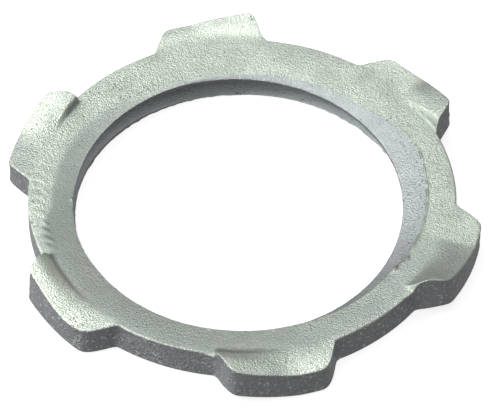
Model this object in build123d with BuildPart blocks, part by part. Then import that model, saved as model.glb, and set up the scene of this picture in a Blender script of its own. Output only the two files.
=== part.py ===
"""Stamped steel conduit locknut with six bent-up lugs and one helical thread through its bore.

Millimetres. +Z points to the face that bites into the box wall, and the origin is
on the thread axis at the underside of the ring. The first lug is centred on +X.
"""
import os
from math import cos, radians, sin, tan

from build123d import *

# driving dimensions: 1 inch locking thread, 11.5 turns to the inch
thread_pitch = 25.4 / 11.5
thread_minor_radius = 15.34
thread_depth = 1.55
thread_root_flat = 0.10
thread_half_angle = 30.0
thread_entry_angle = 135.0

# stamped ring and lugs
plate = 2.5
body_radius = 20.2
lug_radius = 22.8
lug_count = 6
lug_tip_half_angle = 10.6
lug_root_half_angle = 16.8
lug_tip_rounding = 1.3
lug_root_rounding = 1.6

# the clockwise half of each lug is bent up into a tooth
tooth_rise = 2.3
tooth_tip_rise = 1.75
tooth_fold_offset = 0.8
tooth_foot_radius = 19.3
tooth_crest_radius = 20.9
underside_foot_radius = 19.9
underside_crest_radius = 21.3
underside_rise = 1.1

# how far cutting tools run past the faces
overrun = 1.0


def polar(radius, angle):
    """Point at a radius and an angle in degrees."""
    return (radius * cos(radians(angle)), radius * sin(radians(angle)))


# one lug centred on +X: flared sides from inside the ring, and a tip that follows the lug circle
with BuildSketch() as lug_face:
    with BuildLine():
        hidden = body_radius - overrun
        Polyline(
            polar(lug_radius, lug_tip_half_angle),
            polar(body_radius, lug_root_half_angle),
            polar(hidden, lug_root_half_angle),
            polar(hidden, -lug_root_half_angle),
            polar(body_radius, -lug_root_half_angle),
            polar(lug_radius, -lug_tip_half_angle),
        )
        ThreePointArc(
            polar(lug_radius, -lug_tip_half_angle),
            polar(lug_radius, 0),
            polar(lug_radius, lug_tip_half_angle),
        )
    make_face()

# blank: ring with six flared lugs, corners rounded by the die
with BuildSketch() as blank_outline:
    Circle(body_radius)
    with PolarLocations(0, lug_count):
        add(lug_face.sketch)
    tips = blank_outline.vertices().filter_by(lambda v: Vector(v.X, v.Y).length > lug_radius - 0.01)
    fillet(tips, radius=lug_tip_rounding)
    roots = blank_outline.vertices().filter_by(
        lambda v: abs(Vector(v.X, v.Y).length - body_radius) < 0.01
    )
    fillet(roots, radius=lug_root_rounding)


def tooth_wedge(base, foot_radius, crest_radius, crest_rise, tip_rise):
    """Wedge over one lug at height base: it rises clockwise from the fold, and from a foot to a crest."""
    reach = lug_radius + overrun
    end = -lug_radius * sin(radians(lug_root_half_angle)) - overrun
    full_rise_at = -lug_radius * sin(radians(lug_tip_half_angle))
    steepness = crest_rise / (tooth_fold_offset - full_rise_at)
    top_at_end = steepness * (tooth_fold_offset - end)
    tip_slope = (crest_rise - tip_rise) / (lug_radius - crest_radius)
    with BuildPart() as wedge:
        with BuildSketch(Plane.YZ.offset(foot_radius)):
            with BuildLine():
                Polyline(
                    (tooth_fold_offset, base),
                    (end, base + top_at_end),
                    (end, base),
                    close=True,
                )
            make_face()
        extrude(amount=reach - foot_radius)
        with BuildSketch(Plane.XZ):
            with BuildLine():
                Polyline(
                    (foot_radius, base),
                    (crest_radius, base + crest_rise),
                    (reach, base + crest_rise - tip_slope * (reach - crest_radius)),
                    (reach, base),
                    close=True,
                )
            make_face()
        extrude(amount=lug_radius, both=True, mode=Mode.INTERSECT)
    return wedge.part


raised = tooth_wedge(plate, tooth_foot_radius, tooth_crest_radius, tooth_rise, tooth_tip_rise)
relief = tooth_wedge(0.0, underside_foot_radius, underside_crest_radius, underside_rise, underside_rise)

# right-handed helical groove that runs out past both faces
groove_mouth = 2 * thread_depth * tan(radians(thread_half_angle)) + thread_root_flat
groove_start_height = -groove_mouth / 2 - overrun / 2
groove_entry_height = plate + groove_mouth / 2
groove_rise = groove_entry_height - groove_start_height
groove_start_angle = thread_entry_angle - 360.0 * groove_rise / thread_pitch
with BuildPart() as thread_groove:
    with BuildLine() as groove_path:
        Helix(thread_pitch, groove_rise + overrun / 2, thread_minor_radius)
    with BuildSketch(Plane(origin=groove_path.line @ 0, x_dir=(1, 0, 0), z_dir=(0, 1, 0))):
        with BuildLine():
            inset = overrun / 2
            flare = (thread_depth + inset) * tan(radians(thread_half_angle))
            Polyline(
                (thread_depth, -thread_root_flat / 2),
                (thread_depth, thread_root_flat / 2),
                (-inset, thread_root_flat / 2 + flare),
                (-inset, -thread_root_flat / 2 - flare),
                close=True,
            )
        make_face()
    sweep(path=groove_path.line, is_frenet=True)

with BuildPart() as locknut:
    # blank plus the raised teeth, trimmed to the blank's outline
    add(blank_outline.sketch)
    extrude(amount=plate)
    with PolarLocations(0, lug_count):
        add(raised)
        add(relief, mode=Mode.SUBTRACT)
    with BuildSketch(Plane.XY):
        add(blank_outline.sketch)
    extrude(amount=plate + tooth_rise + overrun, mode=Mode.INTERSECT)

    # punched bore
    Cylinder(
        thread_minor_radius,
        plate,
        align=(Align.CENTER, Align.CENTER, Align.MIN),
        mode=Mode.SUBTRACT,
    )

    # tapped groove, turned so that its lower edge leaves the top face at the entry angle
    with Locations((0, 0, groove_start_height)):
        add(thread_groove.part, rotation=(0, 0, groove_start_angle), mode=Mode.SUBTRACT)

locknut.part.label = "locknut"
os.makedirs("parts", exist_ok=True)
export_step(locknut.part, "parts/locknut.step")
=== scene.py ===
"""Looks of a stamped, zinc-plated steel conduit locknut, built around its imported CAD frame.

The mesh is one closed loop of rows (bore wall, underside, outer wall, top) at every column of an
angle grid about the thread axis. Working lengths are in millimetres; the object is in metres.
Angles count from +X, counter-clockwise seen from above, and the first lug is centred on +X.
"""

import itertools
import math

import bpy
import numpy as np
from mathutils import Matrix, Vector


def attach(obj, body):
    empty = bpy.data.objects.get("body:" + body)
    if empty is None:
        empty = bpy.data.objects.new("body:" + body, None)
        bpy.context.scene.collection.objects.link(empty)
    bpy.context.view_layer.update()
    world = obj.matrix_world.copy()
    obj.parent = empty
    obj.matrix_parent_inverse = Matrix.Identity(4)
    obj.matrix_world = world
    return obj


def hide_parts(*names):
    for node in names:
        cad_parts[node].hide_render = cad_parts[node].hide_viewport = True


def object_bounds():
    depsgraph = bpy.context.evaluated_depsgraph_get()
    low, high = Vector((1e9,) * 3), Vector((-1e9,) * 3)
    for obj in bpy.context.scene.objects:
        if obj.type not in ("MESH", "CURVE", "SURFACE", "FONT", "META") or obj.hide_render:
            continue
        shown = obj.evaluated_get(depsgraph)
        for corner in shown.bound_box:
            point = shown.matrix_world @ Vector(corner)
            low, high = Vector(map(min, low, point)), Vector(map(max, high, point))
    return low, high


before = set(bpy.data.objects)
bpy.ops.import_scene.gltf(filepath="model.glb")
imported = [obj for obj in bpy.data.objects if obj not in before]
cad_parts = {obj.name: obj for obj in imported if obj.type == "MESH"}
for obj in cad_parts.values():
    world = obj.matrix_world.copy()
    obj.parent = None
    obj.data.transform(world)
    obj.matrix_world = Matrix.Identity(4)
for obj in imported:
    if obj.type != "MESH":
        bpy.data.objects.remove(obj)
cad_box = [[float(v) for v in corner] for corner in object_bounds()]

MM = 0.001

# ---------------------------------------------------------------- sizes, in mm and degrees
# thread, and the angle at which it leaves the top face
PITCH = 25.4 / 11.5
MINOR_RADIUS = 15.34
THREAD_DEPTH = 1.55
ROOT_FLAT = 0.10
HALF_MOUTH = THREAD_DEPTH * math.tan(math.radians(30.0)) + ROOT_FLAT / 2
ENTRY_ANGLE = 135.0
# thickness at the bore, then how far the top rises outwards, in what curve and up to what radius
PLATE = 2.37
DISH = 0.40
DISH_POWER = 1.5
DISH_RADIUS = 19.6
# how much lower the bore's edge is on one side, and the radius at which that starts
SAG = 0.03
SAG_RADIUS = 19.3

# outline: the ring's radius, and half the angle that each side of a lug spans
BODY_RADIUS = 20.2
HALF_SIDE_CW = 2.1
HALF_SIDE_CCW = 2.55
# angle at which a lug's bend starts, and radius at which a tooth with a low facet is fully lifted
FOLD = 4.3
CREST_RADIUS = 22.3
# rounding of the outer edges, below and above, and how much the upper one varies
LOWER_ROUND = 0.18
ROLL = 0.18
ROLL_SPREAD = 0.04
# wear of the bore, and how far above PLATE the lead-in flank reaches its full width
BORE_WEAR = 0.13
FLANK_TOP = 0.27
# share by which the thread is peened shallower between the last two lugs
PEENED = 0.24
# radial width of the top turn's flank, by angle from where the thread leaves the face
FLANK_TURN = [
    -150.0, -147.0, -143.5, -142.0, -135.0, -120.0, -97.0, -90.0, -81.0, -77.0, -69.0, -55.0, -30.0, 0.0
]
FLANK_REACH = [0.0, 0.9, 1.45, 1.85, 1.85, 2.0, 2.25, 2.15, 1.90, 1.70, 1.05, 0.65, 0.2, 0.0]
# middle of the tapped band and of its lip
BAND_RADIUS = 17.0
LIP_RADIUS = 17.4
# the lip's height, how far it stands from the bore's edge and its width
LIP_HEIGHT = 0.10
LIP_AWAY = 0.16
LIP_WIDTH = 0.10
# beads on the bore's edge: angle from the same place, distance from the edge, radius and height
BEADS = [
    (-110.0, 0.10, 0.22, 0.14),
    (-140.8, 0.05, 0.22, 0.14),
    (-146.2, 0.10, 0.25, 0.16),
    (-193.0, 0.05, 0.14, 0.07),
    (-214.0, 0.05, 0.16, 0.08),
    (-293.6, 0.04, 0.16, 0.10),
]
# how far the rim is shifted from the thread axis along X and Y, and the radii that this grows over
SHIFT = (0.20, 0.25)
SHIFT_START = 16.8
SHIFT_SPAN = 3.2
# one side of the rim is flattened: its middle and how far it stands in there
FLAT_SIDE = -69.2
FLAT_DEPTH = 0.344
# how far the outer wall leans inwards towards the top, by angle
LEAN_TURN = [-114.0, -107.0, -101.0, -80.0, -76.0, -66.0, -58.0, -48.0, -42.0, -20.0, -14.0, 0.0]
LEAN_REACH = [0.05, 0.50, 0.36, 0.40, 0.0, 0.05, 0.36, 0.36, 0.32, 0.30, 0.0, 0.0]

# bends of a lug by angle from its centre, as shares of its lift and of its swell
BEND_TURN = [-16.0, -12.0, -10.0, -7.0, -4.0, 0.0, 3.6, FOLD]
BEND_SHARE = [1.60, 1.36, 1.15, 0.88, 0.62, 0.30, 0.03, 0.0]
SWELL_TURN = [-10.0, -6.0, 0.0, 4.0, 7.0, 13.0]
SWELL_SHARE = [0.0, 0.22, 0.28, 0.34, 0.26, 0.0]
# radius beyond which a tip corner is worn
BLUNT_START = 20.9
# how worn the clockwise and counter-clockwise tip corners of each lug are
BLUNT_CW = np.array([0.8, 0.3, 0.0, 0.6, 0.3, 1.0])
BLUNT_CCW = np.array([0.7, 0.7, 0.5, 0.0, 0.8, 1.0])
# each lug in turn from +X: middle of its clockwise and counter-clockwise sides, tip radius, lift
LUG_CW = np.array([13.75, 13.79, 13.9, 15.13, 12.96, 14.01])
LUG_CCW = np.array([14.23, 13.75, 12.88, 13.0, 12.89, 13.91])
LUG_TIP = np.array([22.81, 22.83, 22.80, 22.60, 22.75, 22.90])
LUG_LIFT = np.array([1.07, 1.14, 0.98, 0.64, 1.40, 1.02])
# strength of the swell that reaches past the fold, and how steeply the flat part of the tip droops
LUG_SWELL = np.array([0.0, 0.0, 0.0, 0.2, 1.0, 0.0])
LUG_DROOP = np.array([0.0, 0.0, 0.03, 0.05, 0.05, 0.10])
# angle at which the tooth's inner facet starts to sharpen
LUG_ONSET = np.array([-1.0, 0.0, -1.0, -3.0, 7.0, -1.0])
# how far each lug's underside follows, where its tooth's inner facet starts and how wide that is
LUG_RELIEF = np.array([0.58, 0.58, 0.58, 0.72, 0.32, 0.55])
LUG_FOOT = np.array([19.1, 19.70, 21.1, 19.42, 19.15, 19.0])
LUG_FACET = np.array([1.45, 0.40, 1.1, 0.30, 1.75, 1.7])
# how far that foot moves outwards for each degree near the clockwise end
LUG_SKEW = np.array([0.0, 0.05, 0.0, 0.0, 0.0, 0.0])
# share of the lift reached at the top of that facet
LUG_STEP = np.array([1.0, 0.6, 1.0, 1.0, 1.0, 0.9])
# how sharp that facet is, from 0 (a soft swell) to 1
LUG_SHARP = np.array([0.15, 1.0, 0.0, 1.0, 0.60, 0.3])
# how far the upper edge of each tip leans inwards where the tooth is bent up
LUG_LEAN = np.array([0.25, 0.2, 0.1, 0.2, 0.30, 0.15])

# press scallops: spacing, depth, radius they are spaced at, and how much and about where they bow
SCALLOP_SPACING = 1.1
SCALLOP_DEPTH = 0.05
SCALLOP_RADIUS = 19.3
SCALLOP_BOW = 0.35
SCALLOP_MIDDLE = 19.6
# the split in the last lug: angle, half width in degrees, depth, and how far it wanders in degrees
CRACK_ANGLE = 302.3
CRACK_WIDTH = 0.32
CRACK_DEPTH = 0.07
CRACK_WANDER = 0.5

# outer reach of the darker part, partly rubbed wear and partly painted shade, and its strength, by angle:
# past the ring on the first lug only
WEAR_SHADE_TURN = [-30.0, -16.0, -12.0, 2.5, 4.5, 10.0, 120.0, 165.0, 185.0, 205.0, 216.0, 240.0, 330.0]
WEAR_SHADE_REACH = [19.3, 19.3, 23.5, 23.5, 18.4, 17.5, 16.6, 17.0, 17.5, 17.8, 19.2, 19.7, 19.3]
WEAR_SHADE_SHARE = [0.62, 0.62, 0.55, 0.50, 0.20, 0.0, 0.0, 0.75, 1.0, 1.0, 1.0, 0.85, 0.62]

# how bright the clockwise and counter-clockwise halves of each lug are coloured, partly as burnish and partly
# as painted highlight
BRIGHT_CW = np.array([0.0, 0.0, 1.0, 0.8, 1.0, 0.1])
BRIGHT_CCW = np.array([0.2, 0.7, 0.9, 0.0, 0.5, 0.7])
# radius from which that brightness grows, and how far it fades again at each lug's tip
BRIGHT_FOOT = np.array([19.5, 19.5, 19.5, 19.5, 18.2, 19.5])
BRIGHT_FADE = np.array([0.0, 0.0, 0.85, 0.0, 0.0, 0.0])
# painted shade: how much darker the clockwise and counter-clockwise halves of each lug are coloured
PAINTED_SHADE_CW = np.array([0.0, 0.45, 0.0, 0.0, 0.0, 0.0])
PAINTED_SHADE_CCW = np.array([0.0, 0.0, 0.0, 0.55, 0.0, 0.0])

# mesh: columns round the axis, then rows in each stretch of the loop
COLUMNS = 960
WALL_ROWS = 28
UNDER_ROWS = 8
LOWER_CORNER_ROWS = 4
OUTER_ROWS = 12
ROLL_ROWS = 8
TOP_ROWS = 44
# edges are sharp above this angle, and the grain stands this far out in metres
SHARP_ANGLE = 48.0
BUMP_DISTANCE = 0.00015


def smooth(x):
    """0 below 0, 1 above 1, and an even S between."""
    x = np.clip(x, 0.0, 1.0)
    return x * x * (3.0 - 2.0 * x)


def soft_min(a, b, radius):
    """The smaller of a and b, rounded over radius where they cross."""
    blend = np.clip(0.5 + 0.5 * (b - a) / radius, 0.0, 1.0)
    return b + (a - b) * blend - radius * blend * (1.0 - blend)


def soft_max(a, b, radius):
    return -soft_min(-a, -b, radius)


def noise(x, y, z, scale, seed):
    """Even value noise from -1 to 1, its lumps about scale across."""
    table = np.random.RandomState(seed).uniform(-1.0, 1.0, 8192)
    cells = [np.asarray(v, float) / scale for v in np.broadcast_arrays(x, y, z)]
    low = [np.floor(v).astype(np.int64) for v in cells]
    part = [smooth(v - f) for v, f in zip(cells, low)]
    total = 0.0
    for corner in itertools.product((0, 1), repeat=3):
        key = sum((f + c) * p for f, c, p in zip(low, corner, (73856093, 19349663, 83492791)))
        weight = 1.0
        for t, c in zip(part, corner):
            weight = weight * (t if c else 1.0 - t)
        total = total + table[key % 8192] * weight
    return total


def around(radius, angle, z, scale, seed):
    """Value noise at a point given by radius, angle in degrees and height."""
    turn = np.radians(angle)
    return noise(radius * np.cos(turn), radius * np.sin(turn), z, scale, seed)


def from_lug(angle):
    """Angle from the nearest lug's centre, counter-clockwise positive."""
    return (angle + 30.0) % 60.0 - 30.0


def lug_number(angle):
    return (np.floor((angle + 30.0) / 60.0) % 6).astype(int)


def from_entry(angle):
    """Angle from where the thread leaves the face, clockwise negative."""
    return (angle - ENTRY_ANGLE) % -360.0


def unbroken(angle):
    """The same angle from -30 up to 330 degrees, so that no lug is cut in two."""
    return (angle + 30.0) % 360.0 - 30.0


# ---------------------------------------------------------------- outline
def column_angles(count):
    """Angles of the columns, closer together on the sides of the lugs."""
    fine = np.arange(0.0, 360.0, 0.05)
    c = from_lug(fine)
    density = 1.0 + 1.6 * smooth((3.2 - np.abs(np.abs(c) - 13.9)) / 1.5)
    total = np.concatenate([[0.0], np.cumsum(density)])
    steps = np.linspace(0.0, total[-1], count, endpoint=False)
    return np.interp(steps, total, np.append(fine, 360.0))


def rounded(radius, width):
    """A closed row of radii averaged over a window of width samples."""
    kernel = np.hanning(width + 2)[1:-1]
    kernel /= kernel.sum()
    padded = np.concatenate([radius[-width:], radius, radius[:width]])
    return np.convolve(padded, kernel, "same")[width:-width]


def outline_table():
    """Outer radius every 0.05 degrees, with the die's corners rounded."""
    fine = np.arange(0.0, 360.0, 0.05)
    c, lug = from_lug(fine), lug_number(fine)
    side = np.where(c < 0, LUG_CW[lug], LUG_CCW[lug])
    half_side = np.where(c < 0, HALF_SIDE_CW, HALF_SIDE_CCW)
    share = np.clip((side + half_side - np.abs(c)) / (2.0 * half_side), 0.0, 1.0)
    radius = BODY_RADIUS + (LUG_TIP[lug] - BODY_RADIUS) * share
    tight, wide = rounded(radius, 61), rounded(radius, 131)
    blunt = np.where(c < 0, BLUNT_CW[lug], BLUNT_CCW[lug])
    return fine, tight + (wide - tight) * blunt * smooth((tight - BLUNT_START) / 1.0)


def outer_radius(angle):
    fine, radii = outline_table()
    flat = FLAT_DEPTH * np.clip(np.cos(np.radians(angle - FLAT_SIDE)), 0.0, 1.0)
    return np.interp(angle % 360.0, fine, radii, period=360.0) - flat


# ---------------------------------------------------------------- faces
def tooth_lift(c, lug):
    """How far the tip of a lug is bent up at angle c from its centre, before its radial profile."""
    bend = np.interp(c, BEND_TURN, BEND_SHARE)
    swell = np.interp(c, SWELL_TURN, SWELL_SHARE)
    return (LUG_LIFT[lug] * bend + LUG_SWELL[lug] * swell) * smooth((c + 16.9) / 1.5)


def tooth_profile(radius, c, lug):
    """Share of the lift at a radius: a soft rise by the fold that steepens to a facet at the tooth."""
    foot = LUG_FOOT[lug] + LUG_SKEW[lug] * np.clip(-c - 5.0, 0.0, 10.0)
    width = LUG_FACET[lug]
    gentle = smooth((radius - foot + 0.5) / (np.maximum(width, 1.2) + 1.1))
    facet = soft_max(soft_min((radius - foot) / width, 1.0, 0.30), 0.0, 0.10)
    beyond = np.clip((radius - foot - width) / (CREST_RADIUS - foot - width), 0.0, 1.2)
    sharp = LUG_STEP[lug] * facet + (1.0 - LUG_STEP[lug]) * beyond
    return gentle + (sharp - gentle) * LUG_SHARP[lug] * smooth((LUG_ONSET[lug] - c) / 9.0)


def dish(radius):
    """How far the ring rises from its bore to its rim."""
    share = np.clip((DISH_RADIUS - radius) / (DISH_RADIUS - MINOR_RADIUS), 0.0, 1.2)
    return DISH * (1.0 - share**DISH_POWER)


def top_height(radius, angle):
    c = from_lug(angle)
    height = PLATE + dish(radius)
    lug = lug_number(angle)
    height = height + tooth_lift(c, lug) * tooth_profile(radius, c, lug)
    height = height - LUG_DROOP[lug] * np.clip(radius - 20.4, 0.0, 3.0) * smooth((c + 3.0) / 5.0)
    height = height + 0.022 * around(radius, angle, 0.0, 3.4, 11)
    height = height + 0.005 * around(radius, angle, 0.0, 1.1, 12)
    return height - sag(radius, angle) + chatter(radius, angle) + crack(radius, angle)


def sag(radius, angle):
    """The ring leans further towards its bore from the fourth lug round to the last."""
    where = smooth((angle - 150.0) / 45.0) * smooth((325.0 - angle) / 40.0)
    return SAG * where * np.clip((SAG_RADIUS - radius) / (SAG_RADIUS - MINOR_RADIUS), 0.0, 1.1)


def chatter(radius, angle):
    """Shallow scallops that the press left on the outer half of the ring between two lugs."""
    along = np.radians(angle) * SCALLOP_RADIUS - SCALLOP_BOW * (radius - SCALLOP_MIDDLE) ** 2
    where = smooth((radius - 17.9) / 0.8) * smooth((angle - 188.0) / 8.0) * smooth((224.0 - angle) / 6.0)
    return SCALLOP_DEPTH * np.abs(np.sin(math.pi * along / SCALLOP_SPACING)) * where


def crack(radius, angle):
    """Fine split across the tip of the last lug, just past its fold."""
    off = angle - CRACK_ANGLE - CRACK_WANDER * np.sin(radius * 2.6)
    where = smooth((radius - 19.8) / 0.5) * smooth((21.9 - radius) / 0.4)
    return -CRACK_DEPTH * np.exp(-((off / CRACK_WIDTH) ** 2)) * where


def under_height(radius, angle):
    c = from_lug(angle)
    lug = lug_number(angle)
    relief = LUG_RELIEF[lug] * tooth_lift(c, lug) * smooth((radius - 19.7) / 3.0)
    return relief


# ---------------------------------------------------------------- thread
def root_distance(z, angle):
    """Distance along the axis from the nearest thread root."""
    root = PLATE + HALF_MOUTH + PITCH * (angle - ENTRY_ANGLE) / 360.0
    away = (z - root) % PITCH
    return np.minimum(away, PITCH - away)


def bore_radius(z, angle):
    share = (HALF_MOUTH - root_distance(z, angle)) / (HALF_MOUTH - ROOT_FLAT / 2)
    depth = THREAD_DEPTH * soft_min(soft_max(share, 0.0, 0.05), 1.0, 0.08)
    # the thread is peened shallower between the last two lugs
    peened = smooth((angle % 360.0 - 222.0) / 15.0) * smooth((330.0 - angle % 360.0) / 25.0)
    depth = depth * (1.0 - PEENED * peened)
    # the tap's lead-in opens the top turn's lower flank further, from its crest up to the face
    turned = from_entry(angle)
    crest = PLATE + PITCH * turned / 360.0
    reach = np.interp(turned, FLANK_TURN, FLANK_REACH)
    flank = reach * np.clip((z - crest) / (PLATE + FLANK_TOP - crest), 0.0, 1.3)
    return MINOR_RADIUS + BORE_WEAR + soft_max(depth, flank, 0.04)


def lip_share(angle):
    """How strong the ragged lip is at each angle."""
    turned = from_entry(angle)
    ragged = smooth(0.80 + 0.8 * around(LIP_RADIUS, angle, 0.0, 0.8, 51))
    return ragged * smooth((turned + 149.0) / 3.0) * smooth((-82.0 - turned) / 14.0)


def burr(away, angle):
    """Ragged lip that the tap turned up along the wide part of the top edge, and beads."""
    turned = from_entry(angle)
    height = LIP_HEIGHT * lip_share(angle) * np.exp(-(((away - LIP_AWAY) / LIP_WIDTH) ** 2))
    for bead_turn, bead_away, size, rise in BEADS:
        along = np.radians(turned - bead_turn) * LIP_RADIUS
        height = height + rise * np.exp(-(along**2 + (away - bead_away) ** 2) / size**2)
    return height


def edge_radius(angle, height):
    """Where the bore wall meets a face given by its height function."""
    radius = np.full(angle.shape, MINOR_RADIUS)
    for _ in range(30):
        radius = 0.5 * radius + 0.5 * bore_radius(height(radius, angle), angle)
    return radius


# ---------------------------------------------------------------- mesh
def wall_heights(angle, low, high, rows):
    """Row heights down the bore wall at each column, closer together at crests and roots."""
    share = np.linspace(0.0, 1.0, 241)
    z = low[:, None] + (high - low)[:, None] * share
    away = root_distance(z, angle[:, None])
    density = 1.0 + 2.0 * np.exp(-(((away - HALF_MOUTH) / 0.10) ** 2)) + 1.5 * np.exp(-((away / 0.10) ** 2))
    total = np.cumsum(density, axis=1)
    total = (total - total[:, :1]) / (total[:, -1:] - total[:, :1])
    steps = np.linspace(0.0, 1.0, rows)
    return np.array([np.interp(steps, t, row) for t, row in zip(total, z)])


def top_radii(start, end):
    """Row radii across the top at each column, closer together by the bore and at the teeth's feet."""
    share = np.linspace(0.0, 1.0, 201)
    radius = start[:, None] + (end - start)[:, None] * share
    density = 1.0 + 1.6 * np.exp(-(((radius - end[:, None]) / 0.35) ** 2))
    density = density + 1.8 * np.exp(-(((radius - 19.7) / 0.6) ** 2))
    total = np.cumsum(density, axis=1)
    total = (total - total[:, :1]) / (total[:, -1:] - total[:, :1])
    steps = np.linspace(0.0, 1.0, TOP_ROWS + 2)[1:-1]
    return np.array([np.interp(steps, t, row) for t, row in zip(total, radius)])


def nut_rows(angle):
    """Radius and height of every row at every column, as two arrays of columns by rows."""
    column = angle[:, None]
    radii, heights = [], []

    inner_top = edge_radius(angle, top_height)
    inner_low = edge_radius(angle, under_height)
    z_top = top_height(inner_top, angle)
    z_low = under_height(inner_low, angle)

    # bore wall, from the top down
    z = wall_heights(angle, z_low, z_top, WALL_ROWS)[:, ::-1]
    wall = bore_radius(z, column)
    wall = wall + 0.02 * around(wall, column, z, 0.45, 21) + 0.012 * around(wall, column, z, 0.2, 22)
    ragged = np.clip(around(wall, column, z * 0.3, 0.6, 23), 0.0, 1.0)
    wall = wall - 0.10 * ragged * np.exp(-(((z - z_low[:, None]) / 0.15) ** 2))
    radii.append(wall)
    heights.append(z)

    # underside, outwards
    outer = outer_radius(angle)
    share = np.linspace(0.0, 1.0, UNDER_ROWS + 2)[1:-1]
    start = inner_low[:, None]
    end = (outer - LOWER_ROUND)[:, None]
    radius = start + (end - start) * share
    radii.append(radius)
    heights.append(under_height(radius, column))

    # rounded lower edge, outer wall and rolled upper edge
    turn = np.radians(np.linspace(0.0, 90.0, LOWER_CORNER_ROWS))
    radius = (outer - LOWER_ROUND)[:, None] + LOWER_ROUND * np.sin(turn)
    radii.append(radius)
    heights.append(under_height(radius, column) + LOWER_ROUND * (1.0 - np.cos(turn)))

    roll = ROLL + ROLL_SPREAD * around(21.0, angle, 0.0, 4.0, 31)
    lug = lug_number(angle)
    bent = tooth_lift(from_lug(angle), lug) / (1.4 * LUG_LIFT[lug])
    lean = LUG_LEAN[lug] * bent * smooth((outer - BODY_RADIUS) / 1.2)
    lean = lean + np.interp((angle + 180.0) % 360.0 - 180.0, LEAN_TURN, LEAN_REACH)
    wall_low = under_height(outer, angle) + LOWER_ROUND
    wall_high = top_height(outer - lean, angle) - roll
    share = np.linspace(0.0, 1.0, OUTER_ROWS + 2)[1:-1]
    z = wall_low[:, None] + (wall_high - wall_low)[:, None] * share
    radius = outer[:, None] - lean[:, None] * share
    rough = 0.045 * around(radius, column, z, 0.55, 41) + 0.02 * around(radius, column, z, 0.25, 42)
    radii.append(radius - 0.03 + rough)
    heights.append(z)

    turn = np.radians(np.linspace(0.0, 90.0, ROLL_ROWS))[::-1]
    edge = (outer - lean)[:, None]
    radius = edge - roll[:, None] * (1.0 - np.sin(turn))
    radii.append(radius)
    heights.append(top_height(radius, column) - roll[:, None] * (1.0 - np.cos(turn)))

    # top, inwards
    end = inner_top[:, None]
    radius = top_radii(outer - lean - roll, inner_top)
    radii.append(radius)
    heights.append(top_height(radius, column) + burr(radius - end, column))
    return np.concatenate(radii, axis=1), np.concatenate(heights, axis=1)


def torn(radius, angle):
    """Short tears along the thread's flank, most of them close to the top edge of the bore."""
    return smooth((radius - 15.9) / 1.1) * smooth((95.0 - unbroken(angle)) / 20.0)


def by_half(c, lug, clockwise, other):
    """A value that each half of a lug has of its own, blended across the lug's middle."""
    half = smooth((c + 2.0) / 4.0)
    return clockwise[lug] * (1.0 - half) + other[lug] * half


def wear_and_shade_share(radius, angle):
    """Share of the grain rubbed smooth and coloured darker: partly wear and partly painted shade on part of
    the ring and first lug, painted shade on halves of two lugs.
    """
    turned = unbroken(angle)
    # darker colour on the ring and first lug: partly rubbed wear, partly painted shade
    reach = np.interp(turned, WEAR_SHADE_TURN, WEAR_SHADE_REACH)
    share = smooth((reach - radius) / 0.9 + 0.5)
    share = share * np.interp(turned, WEAR_SHADE_TURN, WEAR_SHADE_SHARE)
    c, lug = from_lug(angle), lug_number(angle)
    # painted shade: halves of two lugs coloured darker
    darker_tone = by_half(c, lug, PAINTED_SHADE_CW, PAINTED_SHADE_CCW)
    return np.maximum(share, darker_tone * smooth((radius - 18.6) / 3.0) * smooth((16.0 - np.abs(c)) / 3.0))


def burnish_and_highlight_share(radius, angle):
    """Share of brighter colour on the raised halves of the lugs: partly burnished metal and partly painted
    highlight.
    """
    c, lug = from_lug(angle), lug_number(angle)
    share = by_half(c, lug, BRIGHT_CW, BRIGHT_CCW)
    share = share * (1.0 - BRIGHT_FADE[lug] * smooth((radius - 21.2) / 1.0))
    return share * smooth((radius - BRIGHT_FOOT[lug]) / 2.2) * smooth((16.0 - np.abs(c)) / 3.0)


def paint(mesh, name, values):
    """Store one value for each point of the mesh, for the material to read."""
    mesh.attributes.new(name, "FLOAT", "POINT").data.foreach_set("value", values.ravel())


def build_nut():
    angle = column_angles(COLUMNS)
    radius, height = nut_rows(angle)
    columns, rows = radius.shape
    turn = np.radians(angle)[:, None]
    away = smooth((radius - SHIFT_START) / SHIFT_SPAN)
    x = radius * np.cos(turn) + SHIFT[0] * away
    y = radius * np.sin(turn) + SHIFT[1] * away
    points = np.stack([x, y, height], axis=-1) * MM
    index = np.arange(columns * rows).reshape(columns, rows)
    after, below = np.roll(index, -1, axis=0), np.roll(index, -1, axis=1)
    corner = np.roll(after, -1, axis=1)
    faces = np.stack([index, below, corner, after], axis=-1).reshape(-1, 4)
    mesh = bpy.data.meshes.new("locknut_body")
    mesh.from_pydata(points.reshape(-1, 3).tolist(), [], faces.tolist())
    mesh.validate()
    bore = np.zeros((columns, rows))
    bore[:, :WALL_ROWS] = 1.0
    paint(mesh, "bore", bore)
    away = radius - radius[:, -1:]
    lip = lip_share(angle[:, None]) * np.exp(-(((away - 0.04) / 0.07) ** 2))
    lip[:, :-TOP_ROWS] = 0.0
    paint(mesh, "lip", lip)
    ticks = bore * torn(radius, angle[:, None])
    paint(mesh, "torn", ticks)
    # darker colour: partly rubbed wear, partly painted shade
    worn_and_shaded = wear_and_shade_share(radius, angle[:, None])
    paint(mesh, "wear_and_shade_share", worn_and_shaded)
    # brighter colour on lug halves: partly burnish, partly painted highlight
    bright = burnish_and_highlight_share(radius, angle[:, None])
    bright[:, : -TOP_ROWS - ROLL_ROWS] = 0.0
    paint(mesh, "bright", bright)
    mesh.shade_smooth()
    mesh.set_sharp_from_angle(angle=math.radians(SHARP_ANGLE))
    mesh.update()
    obj = bpy.data.objects.new("locknut_body", mesh)
    bpy.context.scene.collection.objects.link(obj)
    return obj


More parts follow.
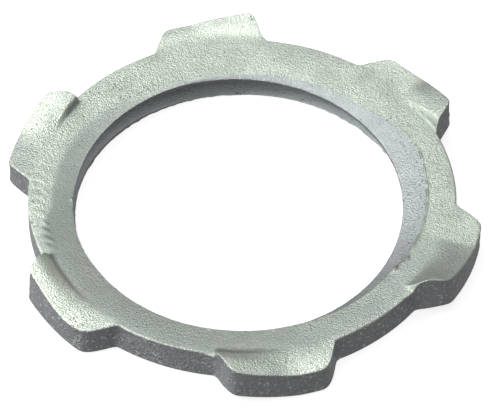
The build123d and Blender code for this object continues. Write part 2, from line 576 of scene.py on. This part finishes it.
# ---------------------------------------------------------------- material
class Nodes:
    """Adds and links the nodes of one material."""

    def __init__(self, name):
        self.material = bpy.data.materials.new(name)
        self.material.use_nodes = True
        self.tree = self.material.node_tree
        self.tree.nodes.clear()

    def add(self, kind, inputs=None, **settings):
        node = self.tree.nodes.new(kind)
        for key, value in settings.items():
            setattr(node, key, value)
        for key, value in (inputs or {}).items():
            self.put(node.inputs[key], value)
        return node

    def put(self, socket, value):
        if isinstance(value, bpy.types.NodeSocket):
            self.tree.links.new(value, socket)
        else:
            socket.default_value = value

    def math(self, operation, *values):
        node = self.add("ShaderNodeMath", operation=operation)
        for socket, value in zip(node.inputs, values):
            self.put(socket, value)
        return node.outputs[0]

    def span(self, value, low, high, to_low=0.0, to_high=1.0):
        node = self.add("ShaderNodeMapRange", interpolation_type="SMOOTHSTEP")
        values = (value, low, high, to_low, to_high)
        names = ("Value", "From Min", "From Max", "To Min", "To Max")
        for key, item in zip(names, values):
            self.put(node.inputs[key], item)
        return node.outputs["Result"]

    def mix(self, factor, a, b, blend="MIX"):
        node = self.add("ShaderNodeMix", data_type="RGBA", blend_type=blend)
        self.put(node.inputs[0], factor)
        self.put(node.inputs[6], a)
        self.put(node.inputs[7], b)
        return node.outputs[2]

    def noise(self, place, scale, detail=2.0, rough=0.5):
        node = self.add(
            "ShaderNodeTexNoise", {"Vector": place, "Scale": scale, "Detail": detail, "Roughness": rough}
        )
        return node.outputs["Fac"]

    def streaks(self, place):
        """Noise drawn out along the circumference about the thread axis."""
        split = self.add("ShaderNodeSeparateXYZ", {0: place})
        x, y, z = split.outputs
        radius = self.math("SQRT", self.math("ADD", self.math("MULTIPLY", x, x), self.math("MULTIPLY", y, y)))
        along = self.math("MULTIPLY", self.math("ARCTAN2", y, x), BAND_RADIUS * MM)
        parts = {0: along, 1: self.math("MULTIPLY", radius, 4.0), 2: self.math("MULTIPLY", z, 4.0)}
        drawn = self.add("ShaderNodeCombineXYZ", parts).outputs[0]
        return self.noise(drawn, 1500.0, 2.0, 0.5)


def zinc_material():
    n = Nodes("zinc_plated_steel")
    place = n.add("ShaderNodeTexCoord").outputs["Object"]
    normal = n.add("ShaderNodeNewGeometry").outputs["Normal"]
    up = n.add("ShaderNodeSeparateXYZ", {0: normal}).outputs["Z"]
    # upright faces, picked by their normal, get the darker cut colour: partly sheared steel, partly painted
    # shade
    wall = n.span(n.math("ABSOLUTE", up), 0.52, 0.22)
    bore = n.add("ShaderNodeAttribute", attribute_name="bore").outputs["Fac"]

    grain = n.noise(place, 6800.0, 2.0, 0.75)
    mottle = n.noise(place, 380.0, 4.0, 0.6)
    specks = n.noise(place, 3000.0, 2.0, 0.6)
    voronoi = n.add("ShaderNodeTexVoronoi", {"Vector": place, "Scale": 2200.0}, feature="F1")
    cells = voronoi.outputs["Distance"]
    pits = n.math("MULTIPLY", n.span(cells, 0.22, 0.08), n.span(n.noise(place, 500.0), 0.50, 0.62))

    light = (0.66, 0.725, 0.645, 1.0)
    soft = (0.55, 0.605, 0.545, 1.0)
    darker_tone = (0.36, 0.40, 0.36, 1.0)
    # colour of the brighter lug halves: partly burnish, partly painted highlight
    burnish_and_highlight_colour = (0.88, 0.95, 0.84, 1.0)
    # colour of the darker part: partly rubbed wear, partly painted shade
    worn_and_shaded = (0.24, 0.268, 0.247, 1.0)
    tapped = (0.40, 0.425, 0.445, 1.0)
    # cut colours for upright faces: partly sheared steel, partly painted shade
    bore_steel = (0.245, 0.245, 0.26, 1.0)
    steel = (0.31, 0.31, 0.335, 1.0)
    bare = (0.62, 0.63, 0.60, 1.0)
    dark = (0.12, 0.13, 0.12, 1.0)
    colour = n.mix(n.span(mottle, 0.35, 0.65), soft, light)
    colour = n.mix(n.span(grain, 0.36, 0.56, 0.6, 0.0), colour, darker_tone)
    cut_and_shade = n.mix(bore, steel, bore_steel)
    cut_and_shade = n.mix(n.math("MULTIPLY", n.span(specks, 0.59, 0.66), n.span(bore, 1.0, 0.0)), cut_and_shade, bare)
    cut_and_shade = n.mix(n.span(grain, 0.38, 0.50, 0.45, 0.0), cut_and_shade, dark)
    # darker part of ring and lugs: partly rubbed wear, partly painted shade
    wear_and_shade_part = n.add("ShaderNodeAttribute", attribute_name="wear_and_shade_share").outputs["Fac"]
    colour = n.mix(n.math("MULTIPLY", wear_and_shade_part, 0.8), colour, worn_and_shaded)
    colour = n.mix(n.math("MULTIPLY", bore, 0.8), colour, tapped)
    # brighter lug halves: partly burnish, partly painted highlight
    bright_part = n.add("ShaderNodeAttribute", attribute_name="bright").outputs["Fac"]
    colour = n.mix(n.math("MULTIPLY", bright_part, 0.7), colour, burnish_and_highlight_colour)
    torn_part = n.add("ShaderNodeAttribute", attribute_name="torn").outputs["Fac"]
    torn_part = n.math("MULTIPLY", torn_part, n.span(n.streaks(place), 0.60, 0.68))
    lip_part = n.add("ShaderNodeAttribute", attribute_name="lip").outputs["Fac"]
    torn_or_lip = n.math("MAXIMUM", n.math("MULTIPLY", torn_part, 0.7), n.math("MULTIPLY", lip_part, 0.9))
    colour = n.mix(torn_or_lip, colour, dark)
    # upright faces coloured darker: partly sheared steel, partly painted shade
    colour = n.mix(n.math("MULTIPLY", wall, 0.92), colour, cut_and_shade)
    colour = n.mix(n.math("MULTIPLY", pits, 0.6), colour, dark)

    rough = n.span(mottle, 0.3, 0.7, 0.46, 0.39)
    rough = n.math("SUBTRACT", rough, n.math("MULTIPLY", wear_and_shade_part, 0.04))
    coarse = n.math("MULTIPLY", n.noise(place, 3800.0, 2.0, 0.7), 0.5)
    height = n.math("ADD", n.math("MULTIPLY", grain, 0.75), coarse)
    height = n.math("ADD", height, n.math("MULTIPLY", n.math("MULTIPLY", specks, wall), 1.2))
    height = n.math("SUBTRACT", height, n.math("MULTIPLY", pits, 0.7))
    strength = n.span(wear_and_shade_part, 0.0, 1.0, 1.0, 0.35)
    bump = n.add("ShaderNodeBump", {"Strength": strength, "Distance": BUMP_DISTANCE, "Height": height})
    shader = n.add(
        "ShaderNodeBsdfPrincipled",
        {"Base Color": colour, "Metallic": 1.0, "Roughness": rough, "Normal": bump.outputs[0]},
    )
    out = n.add("ShaderNodeOutputMaterial")
    n.put(out.inputs["Surface"], shader.outputs[0])
    return n.material


def floor_material():
    n = Nodes("pale_floor")
    shader = n.add(
        "ShaderNodeBsdfPrincipled",
        {
            "Base Color": (0.45, 0.45, 0.45, 1.0),
            "Roughness": 0.9,
            "Emission Color": (1.0, 1.0, 1.0, 1.0),
            "Emission Strength": 0.75,
        },
    )
    out = n.add("ShaderNodeOutputMaterial")
    n.put(out.inputs["Surface"], shader.outputs[0])
    return n.material


nut = build_nut()
nut.data.materials.append(zinc_material())
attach(nut, "root")
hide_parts("locknut")

# ---------------------------------------------------------------- stage
floor_mesh = bpy.data.meshes.new("floor")
FLOOR_HALF = 1.5
FLOOR_GAP = 0.00002
corners = [(x * FLOOR_HALF, y * FLOOR_HALF, 0.0) for x, y in ((-1, -1), (1, -1), (1, 1), (-1, 1))]
floor_mesh.from_pydata(corners, [], [(0, 1, 2, 3)])
floor_mesh.materials.append(floor_material())
floor = bpy.data.objects.new("floor", floor_mesh)
floor.location.z = cad_box[0][2] - FLOOR_GAP
bpy.context.scene.collection.objects.link(floor)
floor.visible_glossy = False

# ---------------------------------------------------------------- camera
# where it stands seen from the thread axis, in degrees and metres, and how far it is turned aside
VIEW_AZIMUTH = 20.8
VIEW_ELEVATION = 48.942
VIEW_DISTANCE = 0.320
VIEW_ROLL = -0.087
VIEW_PAN = 0.1869
VIEW_TILT = 0.1410
LENS = 243.34

# each light's name, azimuth from the camera's, elevation, distance, size and power
LIGHTS = [
    ("key", -100.0, 46.0, 0.22, 0.13, 0.29),
    ("top", 180.0, 72.0, 0.16, 0.11, 0.060),
    ("side", -80.0, 10.0, 0.30, 0.20, 0.20),
]
# strength of the surroundings low down and overhead, and what the camera's left side adds
WORLD_LOW = 0.36
WORLD_HIGH = 0.85
WORLD_SIDE = 0.40


def on_view(azimuth, elevation, distance):
    """Point at an azimuth and elevation as seen from the thread axis; azimuth 0 looks along +Y."""
    a, e = math.radians(azimuth), math.radians(elevation)
    return Vector((math.sin(a) * math.cos(e), -math.cos(a) * math.cos(e), math.sin(e))) * distance


def add_camera():
    data = bpy.data.cameras.new("camera")
    data.lens = LENS
    data.sensor_width = 36.0
    data.clip_start = 0.01
    data.clip_end = 20.0
    camera = bpy.data.objects.new("camera", data)
    place = on_view(VIEW_AZIMUTH, VIEW_ELEVATION, VIEW_DISTANCE)
    forward = -place.normalized()
    right = forward.cross(Vector((0, 0, 1))).normalized()
    up = right.cross(forward)
    roll = math.radians(VIEW_ROLL)
    right, up = right * math.cos(roll) + up * math.sin(roll), up * math.cos(roll) - right * math.sin(roll)
    aside = right * math.tan(math.radians(VIEW_PAN))
    forward = (forward + aside + up * math.tan(math.radians(VIEW_TILT))).normalized()
    right = (right - forward * right.dot(forward)).normalized()
    up = right.cross(forward)
    turn = Matrix((right, up, -forward)).transposed().to_4x4()
    camera.matrix_world = Matrix.Translation(place) @ turn
    bpy.context.scene.collection.objects.link(camera)
    bpy.context.scene.camera = camera


add_camera()


def add_light(name, azimuth, elevation, distance, size, power):
    data = bpy.data.lights.new(name, "AREA")
    data.shape = "DISK"
    data.size = size
    data.energy = power
    light = bpy.data.objects.new(name, data)
    light.location = on_view(azimuth, elevation, distance)
    light.rotation_euler = (-light.location).to_track_quat("-Z", "Y").to_euler()
    bpy.context.scene.collection.objects.link(light)


for name, turn, elevation, distance, size, power in LIGHTS:
    add_light(name, VIEW_AZIMUTH + turn, elevation, distance, size, power)


def add_world():
    """A soft studio: bright overhead, grey at the horizon and below it, brighter on the left."""
    world = bpy.data.worlds.new("studio")
    world.use_nodes = True
    tree = world.node_tree
    tree.nodes.clear()
    place = tree.nodes.new("ShaderNodeTexCoord")
    split = tree.nodes.new("ShaderNodeSeparateXYZ")
    tree.links.new(place.outputs["Generated"], split.inputs[0])
    height = tree.nodes.new("ShaderNodeMapRange")
    height.interpolation_type = "SMOOTHSTEP"
    height.inputs["From Min"].default_value = 0.60
    height.inputs["From Max"].default_value = 1.0
    height.inputs["To Min"].default_value = WORLD_LOW
    height.inputs["To Max"].default_value = WORLD_HIGH
    tree.links.new(split.outputs["Z"], height.inputs["Value"])
    left = tree.nodes.new("ShaderNodeVectorMath")
    left.operation = "DOT_PRODUCT"
    left.inputs[1].default_value = on_view(VIEW_AZIMUTH - 90.0, 0.0, 1.0)
    tree.links.new(place.outputs["Generated"], left.inputs[0])
    side = tree.nodes.new("ShaderNodeMapRange")
    side.interpolation_type = "SMOOTHSTEP"
    side.inputs["From Min"].default_value = 0.10
    side.inputs["From Max"].default_value = 0.80
    side.inputs["To Min"].default_value = 0.0
    side.inputs["To Max"].default_value = WORLD_SIDE
    tree.links.new(left.outputs["Value"], side.inputs["Value"])
    total = tree.nodes.new("ShaderNodeMath")
    total.operation = "ADD"
    tree.links.new(height.outputs["Result"], total.inputs[0])
    tree.links.new(side.outputs["Result"], total.inputs[1])
    glow = tree.nodes.new("ShaderNodeBackground")
    glow.inputs["Color"].default_value = (1.0, 1.0, 1.0, 1.0)
    tree.links.new(total.outputs[0], glow.inputs["Strength"])
    out = tree.nodes.new("ShaderNodeOutputWorld")
    tree.links.new(glow.outputs[0], out.inputs["Surface"])
    bpy.context.scene.world = world


add_world()
bpy.context.scene.view_settings.view_transform = "Standard"
